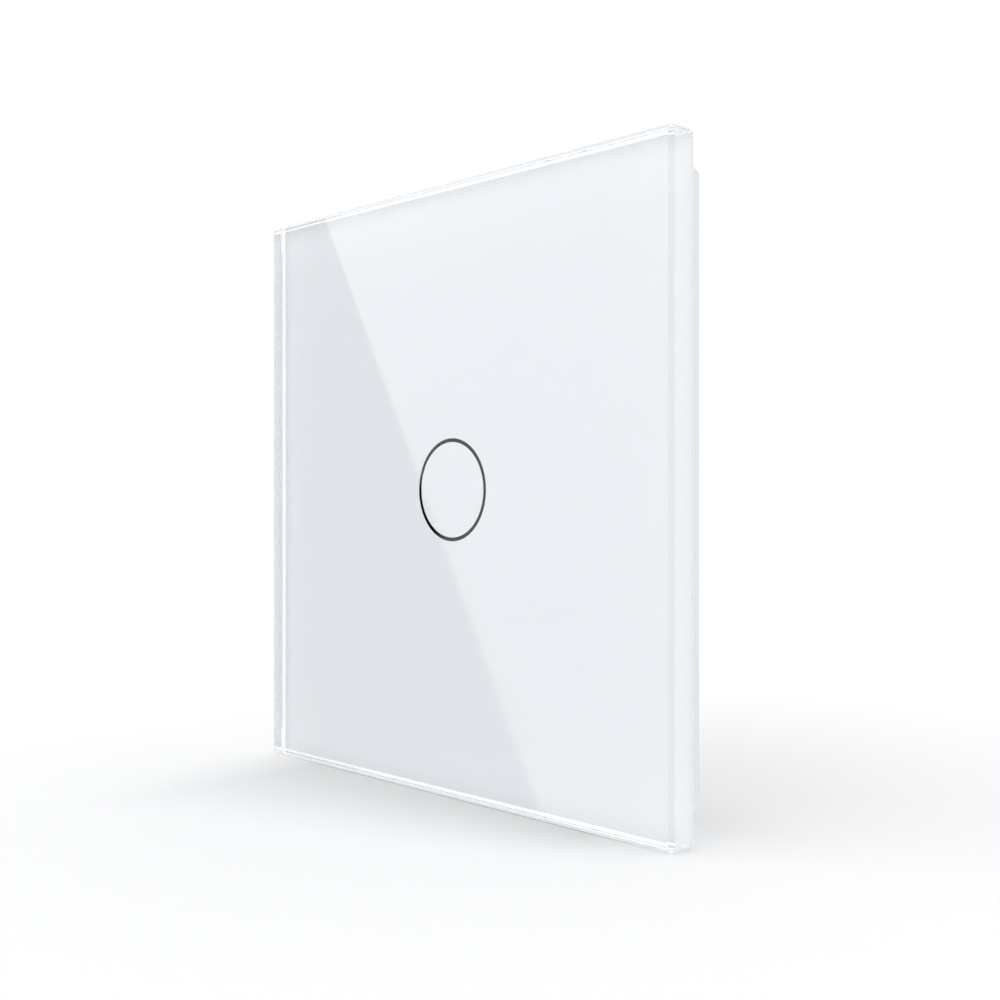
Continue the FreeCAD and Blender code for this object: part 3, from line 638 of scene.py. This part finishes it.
# %% [markdown]
# The frame, the tray and its cover are injection moulded. The mould of the frame is spark-eroded,
# which leaves an even, very fine grain, and that of the tray is only ground, so the tray is
# smoother and its flow lines show a little. Moulded edges are never sharp, so the shading rounds
# them. Real roundings would cost thousands of faces and look the same at this size.


# %% Wear and soft edges
def worn(material, smooth, rough, size_mm):
    """Lets a finish's roughness drift between two values."""
    tree = material.node_tree
    drift = stepped(tree, noise(tree, size_mm), DRIFT_LOW, DRIFT_HIGH, smooth, rough)
    wire(tree, drift, tree.nodes["Principled BSDF"].inputs["Roughness"])
    return material


def softened(material, radius_mm):
    """Rounds a finish's sharp edges by this much, in the shading only."""
    tree = material.node_tree
    round_edge = tree.nodes.new("ShaderNodeBevel")
    round_edge.samples = 4
    round_edge.inputs["Radius"].default_value = radius_mm * MM
    bumps = [node for node in tree.nodes if node.bl_idname == "ShaderNodeBump"]
    target = bumps[0] if bumps else tree.nodes["Principled BSDF"]
    wire(tree, round_edge.outputs[0], target.inputs["Normal"])
    return material


# %% Mouldings
white_moulding = finish("white_moulding", (0.85, 0.862, 0.872), 0.42, specular_ior_level=0.12)
mottle(white_moulding, (0.842, 0.854, 0.864), (0.858, 0.870, 0.880), 9.0)
dress("panel_frame", softened(grain(white_moulding, 0.12, 0.004), 0.12))
FLOW_LINES = (1.0, 1.0, 0.25)
grey_moulding = finish("grey_moulding", (0.66, 0.67, 0.68), 0.42)
mottle(grey_moulding, (0.63, 0.64, 0.65), (0.68, 0.69, 0.70), 7.0, FLOW_LINES)
softened(grain(worn(grey_moulding, 0.36, 0.5, 5.0), 0.2, 0.003), 0.12)
dress("sensor_tray", grey_moulding)
dress("tray_cover", grey_moulding)

# %% [markdown]
# The yoke is cut from zinc-coated strip. Rolling leaves fine lines one way, and the zinc sets in
# small flat crystals of slightly different grey. The screws are plated too, and are brighter
# because they are tumbled.


# %% Plated steel
def zinc(name, dark, pale, patch_mm):
    """Zinc-coated steel: crystals of slightly different grey."""
    material = finish(name, pale, 0.34, metallic=1.0)
    tree = material.node_tree
    patches = tree.nodes.new("ShaderNodeTexVoronoi")
    patches.feature = "F1"
    patches.inputs["Scale"].default_value = 1.0 / (patch_mm * MM)
    wire(tree, texture_place(tree), patches.inputs["Vector"])
    tone = tree.nodes.new("ShaderNodeMix")
    tone.data_type = "RGBA"
    tone.inputs[6].default_value = (*dark, 1.0)
    tone.inputs[7].default_value = (*pale, 1.0)
    wire(tree, stepped(tree, patches.outputs["Color"], 0.1, 0.9, 0.0, 1.0), tone.inputs[0])
    wire(tree, tone.outputs[2], tree.nodes["Principled BSDF"].inputs["Base Color"])
    return worn(material, 0.26, 0.42, patch_mm * 0.8)


ROLLED = (1.0, 1.0, 0.03)
plated_steel = zinc("plated_steel", (0.47, 0.485, 0.505), (0.57, 0.585, 0.605), 2.6)
dress("mounting_yoke", softened(grain(plated_steel, 0.25, 0.006, ROLLED), 0.1))
screw_steel = zinc("screw_steel", (0.60, 0.61, 0.62), (0.68, 0.685, 0.69), 1.0)
dress("tray_screws", softened(grain(screw_steel, 0.25, 0.003), 0.08))

# %% [markdown]
# The board is glass-fibre laminate under glossy green solder mask. The glass cloth beneath makes
# the mask's colour and surface drift in patches of about half a millimetre. Copper tracks lie
# under the mask as slightly raised, paler lines, so they are drawn as thin ribbons on the board.

# %% Solder mask
board_low, board_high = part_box("sensor_board")
board_front = -board_low[1] / MM
solder_mask = finish("solder_mask", (0.012, 0.16, 0.07), 0.28, coat_weight=0.3)
mottle(solder_mask, (0.010, 0.145, 0.062), (0.016, 0.185, 0.082), 0.5)
dress("sensor_board", softened(grain(solder_mask, 0.4, 0.004), 0.05))
masked_copper = finish("masked_copper", (0.02, 0.27, 0.11), 0.25, coat_weight=0.3)
mottle(masked_copper, (0.02, 0.25, 0.10), (0.03, 0.31, 0.13), 0.8)


# %% Ribbons for tracks
ROOT = 0.02
SHARPEST = 0.4


def ribbon(form, line, width, height):
    """Adds a flat ribbon to a form, along (x, z) points on the board's front."""
    left, right = [], []
    for i, (x, z) in enumerate(line):
        before, after = line[max(i - 1, 0)], line[min(i + 1, len(line) - 1)]
        first = Vector((x - before[0], z - before[1]))
        second = Vector((after[0] - x, after[1] - z))
        first, second = (first or second).normalized(), (second or first).normalized()
        across = (first + second).normalized()
        reach = width / 2 / max(across.dot(first), SHARPEST)
        left.append((x - across.y * reach, z + across.x * reach))
        right.append((x + across.y * reach, z - across.x * reach))
    low, high = [[form.verts.new((x * MM, -depth * MM, z * MM)) for x, z in left + right[::-1]]
                 for depth in (board_front - ROOT, board_front + height)]
    count = len(low)
    for i in range(count):
        form.faces.new((low[i], low[(i + 1) % count], high[(i + 1) % count], high[i]))
    for loop in (low, high):
        for i in range(len(line) - 1):
            form.faces.new((loop[i], loop[i + 1], loop[count - 2 - i], loop[count - 1 - i]))


# %% Tracks from the resistors to the plug
TURN, PLUG_SIDE = 0.6, 4.7
RESISTORS, RESISTOR_HALF_WIDTH, RESISTOR_PAD = 6, 0.4, 0.6
RESISTOR_LANE, RESISTOR_LANE_STEP = -1.2, -0.7
RESISTOR_PLUG, RESISTOR_PLUG_STEP = -2.2, 0.88
row_low, row_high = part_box("chip_resistors")
row_x = (row_low[0] + row_high[0]) / 2 / MM
row_top, row_bottom = (row_high[2] / MM - RESISTOR_HALF_WIDTH,
                       row_low[2] / MM + RESISTOR_HALF_WIDTH)
pin_low, pin_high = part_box("header_pins")
pin_z = (pin_low[2] + pin_high[2]) / 2 / MM
half_board = board_high[0] / MM
tracks = []
for i in range(RESISTORS):
    z = row_top - i * (row_top - row_bottom) / (RESISTORS - 1)
    lane = half_board + RESISTOR_LANE + RESISTOR_LANE_STEP * i
    end_z = pin_z + RESISTOR_PLUG + RESISTOR_PLUG_STEP * i
    tracks.append([(row_x + RESISTOR_PAD, z), (lane - TURN, z), (lane, z - TURN),
                   (lane, end_z + TURN), (lane - TURN, end_z), (PLUG_SIDE, end_z)])
print("resistor row is", round(row_top - row_bottom, 2), "mm long")

# %% Tracks from the touch chip to the plug
TRACK_WIDTH, TRACK_HEIGHT = 0.3, 0.035
CHIP_LEADS, CHIP_FIRST_LEAD, CHIP_LEAD_STEP, CHIP_PAD = 4, -2.275, 1.3, 3.2
CHIP_RUN, CHIP_RUN_STEP = 4.0, 0.7
CHIP_LANE, CHIP_LANE_STEP = 3.8, -0.8
CHIP_PLUG, CHIP_PLUG_STEP = 1.5, -1.0
chip_low, chip_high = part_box("touch_controller")
chip_x, chip_z = [(chip_low[i] + chip_high[i]) / 2 / MM for i in (0, 2)]
for i in range(CHIP_LEADS):
    x = chip_x + CHIP_FIRST_LEAD + CHIP_LEAD_STEP * i
    lane = -half_board + CHIP_LANE + CHIP_LANE_STEP * i
    start_z = chip_z + CHIP_RUN + CHIP_RUN_STEP * i
    end_z = pin_z + CHIP_PLUG + CHIP_PLUG_STEP * i
    tracks.append([(x, chip_z + CHIP_PAD), (x, start_z), (x - TURN, start_z + TURN),
                   (lane + TURN, start_z + TURN), (lane, start_z), (lane, end_z + TURN),
                   (lane + TURN, end_z), (-PLUG_SIDE, end_z)])
track_form = bmesh.new()
for line in tracks:
    ribbon(track_form, line, TRACK_WIDTH, TRACK_HEIGHT)
fitted(closed_mesh("board_tracks", track_form), masked_copper, "wall_unit", "board_laminate")

# %% [markdown]
# The touch electrode is a coil wound from round spring wire. Its end turns are closed, so that it
# stands flat on its pad and lies flat against the back of the touch disc, and the turns between
# them are open, so that it can be pressed. A screw modifier would make an even coil without the
# closed turns, so the wire's line is worked out point by point and a tube is laid along it. The
# wire is tinned, which keeps its joint bright.

# %% The line of the touch spring's wire
WIRE_RADIUS = 0.2
COIL_TURNS, CLOSED_TURN, COIL_STEPS = 4.0, 1.0, 72
CLOSED_RISE = 2.08 * WIRE_RADIUS
spring_low, spring_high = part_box("touch_spring")
coil_radius = spring_high[0] / MM - WIRE_RADIUS
coil_start, coil_end = -spring_high[1] / MM + WIRE_RADIUS, -spring_low[1] / MM - WIRE_RADIUS


def coil_depth(turns):
    """How far out the wire's centre is after so many turns."""
    if turns < CLOSED_TURN:
        return coil_start + CLOSED_RISE * turns / CLOSED_TURN
    if turns > COIL_TURNS - CLOSED_TURN:
        return coil_end - CLOSED_RISE * (COIL_TURNS - turns) / CLOSED_TURN
    part = (turns - CLOSED_TURN) / (COIL_TURNS - 2 * CLOSED_TURN)
    return coil_start + CLOSED_RISE + part * (coil_end - coil_start - 2 * CLOSED_RISE)


centres = []
for i in range(int(COIL_TURNS * COIL_STEPS) + 1):
    a = 2 * math.pi * i / COIL_STEPS
    centres.append(Vector((coil_radius * math.cos(a), -coil_depth(i / COIL_STEPS),
                           coil_radius * math.sin(a))))
print("spring wire runs through", len(centres), "points")


# %% Touch spring
def skin(form, rings):
    """Joins rings of points into a tube and closes both its ends."""
    for first, second in zip(rings, rings[1:]):
        for k in range(len(first)):
            after = (k + 1) % len(first)
            form.faces.new((first[k], first[after], second[after], second[k]))
    form.faces.new(rings[0])
    form.faces.new(rings[-1])


def wire_ring(form, centre, ahead, radius, sides=20):
    """A ring of points round a wire's centre, square to its run."""
    side = ahead.cross(Vector((0.0, 1.0, 0.0))).normalized()
    up = side.cross(ahead).normalized()
    turns = [2 * math.pi * k / sides for k in range(sides)]
    return [form.verts.new((centre + side * (radius * math.cos(a)) + up * (radius * math.sin(a)))
                           * MM) for a in turns]


coil_form = bmesh.new()
runs = [(centres[min(i + 1, len(centres) - 1)] - centres[max(i - 1, 0)]).normalized()
        for i in range(len(centres))]
skin(coil_form, [wire_ring(coil_form, centre, ahead, WIRE_RADIUS)
                 for centre, ahead in zip(centres, runs)])
spring_wire = finish("tinned_spring_wire", (0.66, 0.65, 0.62), 0.25, metallic=1.0)
grain(worn(spring_wire, 0.18, 0.36, 0.6), 0.08, 0.001)
fitted(closed_mesh("touch_spring_coil", coil_form, smooth=True),
       spring_wire, "wall_unit", "spring_steel", "touch_spring")

# %% [markdown]
# The baffle is a washer of open-cell foam, nearly black, that keeps the light inside the ring. Its
# cells are pits of two or three tenths of a millimetre, so a cell pattern of that size presses
# them into the shading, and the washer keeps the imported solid's shape.

# %% Foam baffle
FOAM_CELL, FOAM_PIT = 0.3, 0.08
black_foam = finish("black_foam", (0.03, 0.03, 0.032), 0.95)
foam = black_foam.node_tree
cells = foam.nodes.new("ShaderNodeTexVoronoi")
cells.inputs["Scale"].default_value = 1.0 / (FOAM_CELL * MM)
wire(foam, texture_place(foam), cells.inputs["Vector"])
pits = foam.nodes.new("ShaderNodeBump")
pits.inputs["Distance"].default_value = FOAM_PIT * MM
wire(foam, cells.outputs["Distance"], pits.inputs["Height"])
wire(foam, pits.outputs["Normal"], foam.nodes["Principled BSDF"].inputs["Normal"])
dress("light_baffle", mottle(black_foam, (0.02, 0.02, 0.022), (0.05, 0.05, 0.052), FOAM_CELL))

# %% [markdown]
# The small lamps have a white housing and a lens of yellow phosphor in clear resin. A lamp is one
# solid, so its lens is a band of the finish: a mask is 1 beyond a plane, and there another colour
# and roughness take over. The glazes, caps and coatings further down are banded the same way. The
# two chips are moulded in black epoxy, which is dull with a fine grain, and their leads are tinned
# copper.


# %% Bands
def past(tree, axis, value_mm, below=False):
    """1 where a point lies beyond a plane across one axis of the panel, in millimetres."""
    side = "LESS_THAN" if below else "GREATER_THAN"
    return combined(tree, side, own_axes(tree)[axis], value_mm * MM)


def banded(material, mask, colour, roughness, metal=0.0):
    """Gives the part of a piece where the mask is 1 another colour, roughness and metal."""
    tree = material.node_tree
    shader = tree.nodes["Principled BSDF"]
    wanted = {"Base Color": (*colour, 1.0), "Roughness": roughness, "Metallic": metal}
    for name, value in wanted.items():
        socket = shader.inputs[name]
        blend = tree.nodes.new("ShaderNodeMix")
        if name == "Base Color":
            blend.data_type = "RGBA"
            first, second, result = blend.inputs[6], blend.inputs[7], blend.outputs[2]
        else:
            first, second, result = blend.inputs[2], blend.inputs[3], blend.outputs[0]
        if socket.is_linked:
            wire(tree, socket.links[0].from_socket, first)
        else:
            first.default_value = socket.default_value
        second.default_value = value
        wire(tree, mask, blend.inputs[0])
        wire(tree, result, socket)
    return material


# %% Lamps, chips and leads
lamp_low, lamp_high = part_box("indicator_leds")
lamp_split = (lamp_low[1] + lamp_high[1]) / 2 / MM
led_resin = finish("led_resin", (0.88, 0.88, 0.85), 0.35)
mottle(led_resin, (0.85, 0.85, 0.82), (0.90, 0.90, 0.87), 0.4)
lens = past(led_resin.node_tree, "Y", lamp_split, below=True)
dress("indicator_leds", softened(banded(led_resin, lens, (0.86, 0.72, 0.20), 0.12), 0.05))
chip_resin = finish("chip_resin", (0.022, 0.022, 0.024), 0.5)
mottle(chip_resin, (0.018, 0.018, 0.020), (0.032, 0.032, 0.034), 0.4)
softened(grain(chip_resin, 0.06, 0.004), 0.05)
dress("touch_controller", chip_resin)
dress("voltage_regulator", chip_resin)
tinned_copper = finish("tinned_copper", (0.74, 0.74, 0.73), 0.35, metallic=1.0)
dress("component_leads", softened(worn(tinned_copper, 0.26, 0.5, 0.3), 0.03))


# %% [markdown]
# A chip resistor is a white ceramic block with a black glaze on top, a chip capacitor is fired
# brown ceramic all through, and both have tinned end caps. The bulk capacitor is moulded in yellow
# resin and has a brown band at its positive end.

# %% Resistors and capacitors
CAP_LENGTH, GLAZE_DEPTH, BAND_WIDTH = 0.3, 0.08, 0.75


def end_caps(material, node):
    """Tins both ends of the pieces of a node, which all lie across the panel."""
    low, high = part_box(node)
    tree = material.node_tree
    right = past(tree, "X", high[0] / MM - CAP_LENGTH)
    left = past(tree, "X", low[0] / MM + CAP_LENGTH, below=True)
    return banded(material, plus(tree, left, right), (0.72, 0.72, 0.70), 0.34, 1.0)


resistor = finish("resistor_ceramic", (0.80, 0.80, 0.78), 0.5)
mottle(resistor, (0.78, 0.78, 0.76), (0.84, 0.84, 0.82), 0.3)
glaze = past(resistor.node_tree, "Y", row_low[1] / MM + GLAZE_DEPTH, below=True)
banded(resistor, glaze, (0.02, 0.02, 0.022), 0.2)
dress("chip_resistors", softened(end_caps(resistor, "chip_resistors"), 0.03))
capacitor = finish("capacitor_ceramic", (0.42, 0.28, 0.16), 0.45)
mottle(capacitor, (0.38, 0.25, 0.14), (0.46, 0.31, 0.18), 0.3)
dress("chip_capacitors", softened(end_caps(capacitor, "chip_capacitors"), 0.03))
tantalum = finish("tantalum_resin", (0.74, 0.48, 0.07), 0.4)
mottle(tantalum, (0.70, 0.45, 0.06), (0.78, 0.52, 0.09), 0.5)
bulk_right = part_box("bulk_capacitor")[1][0] / MM
banded(tantalum, past(tantalum.node_tree, "X", bulk_right - BAND_WIDTH), (0.22, 0.09, 0.02), 0.35)
dress("bulk_capacitor", softened(grain(tantalum, 0.08, 0.003), 0.05))

# %% [markdown]
# The header is black glass-filled plastic. Its pins are brass, gilt where they plug in and bright
# with solder where they come through the board.

# %% Header
header_plastic = finish("header_plastic", (0.028, 0.028, 0.03), 0.5)
mottle(header_plastic, (0.022, 0.022, 0.024), (0.036, 0.036, 0.038), 0.8)
dress("header_base", softened(grain(header_plastic, 0.1, 0.006), 0.08))
gilt_brass = finish("gilt_brass", (0.86, 0.62, 0.24), 0.24, metallic=1.0)
mottle(gilt_brass, (0.83, 0.59, 0.22), (0.89, 0.66, 0.28), 1.2)
worn(gilt_brass, 0.18, 0.32, 0.8)
in_front = past(gilt_brass.node_tree, "Y", -board_front, below=True)
banded(gilt_brass, in_front, (0.74, 0.74, 0.73), 0.3, 1.0)
dress("header_pins", softened(gilt_brass, 0.04))

# %% [markdown]
# Molten solder creeps up each pin and sets as a small cone with hollow sides, wide on the board and
# narrow on the pin. A plain cone would look too stiff, so each one is a stack of rings with a skin
# between them, made with the same helper as the spring's wire.

# %% Solder cones
PIN_PITCH, PIN_COLUMNS, PIN_ROWS = 2.54, 4, 2
CONE_SIDES = 28
CONE = [(0.95, -ROOT), (0.93, 0.03), (0.74, 0.12), (0.58, 0.28), (0.49, 0.5), (0.46, 0.62)]
pin_spots = [((column - (PIN_COLUMNS - 1) / 2) * PIN_PITCH,
              pin_z + (row - (PIN_ROWS - 1) / 2) * PIN_PITCH)
             for column in range(PIN_COLUMNS) for row in range(PIN_ROWS)]
cone_turns = [2 * math.pi * k / CONE_SIDES for k in range(CONE_SIDES)]
cone_form = bmesh.new()
for x, z in pin_spots:
    skin(cone_form, [[cone_form.verts.new(((x + radius * math.cos(a)) * MM,
                                           -(board_front + rise) * MM,
                                           (z + radius * math.sin(a)) * MM))
                      for a in cone_turns] for radius, rise in CONE])
solder = worn(finish("solder", (0.68, 0.68, 0.67), 0.22, metallic=1.0), 0.15, 0.34, 0.3)
fitted(closed_mesh("solder_cones", cone_form, smooth=True), solder, "wall_unit", "tinned_copper")

# %% [markdown]
# When a moulding cools, pins push it out of the mould, and each leaves a faint round mark on the
# side that nobody sees. On the back of the tray they are rings four hundredths of a millimetre
# high.

# %% Ejector marks
MARK_OUTER, MARK_INNER, MARK_HEIGHT, MARK_SIDES = 1.5, 1.34, 0.04, 48
MARK_SPREAD_X, MARK_SPREAD_Z = 15.0, 15.5
tray_depth = -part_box("sensor_tray")[1][1] / MM
mark_places = [(side * MARK_SPREAD_X, z) for side in (-1, 1)
               for z in (-MARK_SPREAD_Z, 0.0, MARK_SPREAD_Z)]
mark_places += [(0.0, MARK_SPREAD_Z), (0.0, 0.0)]
mark_form = bmesh.new()
for x, z in mark_places:
    turn(mark_form,
         [(MARK_OUTER, tray_depth + ROOT), (MARK_OUTER, tray_depth - MARK_HEIGHT),
          (MARK_INNER, tray_depth - MARK_HEIGHT), (MARK_INNER, tray_depth + ROOT)],
         MARK_SIDES, x, z)
fitted(closed_mesh("ejector_marks", mark_form), grey_moulding, "wall_unit", "grey_moulding")
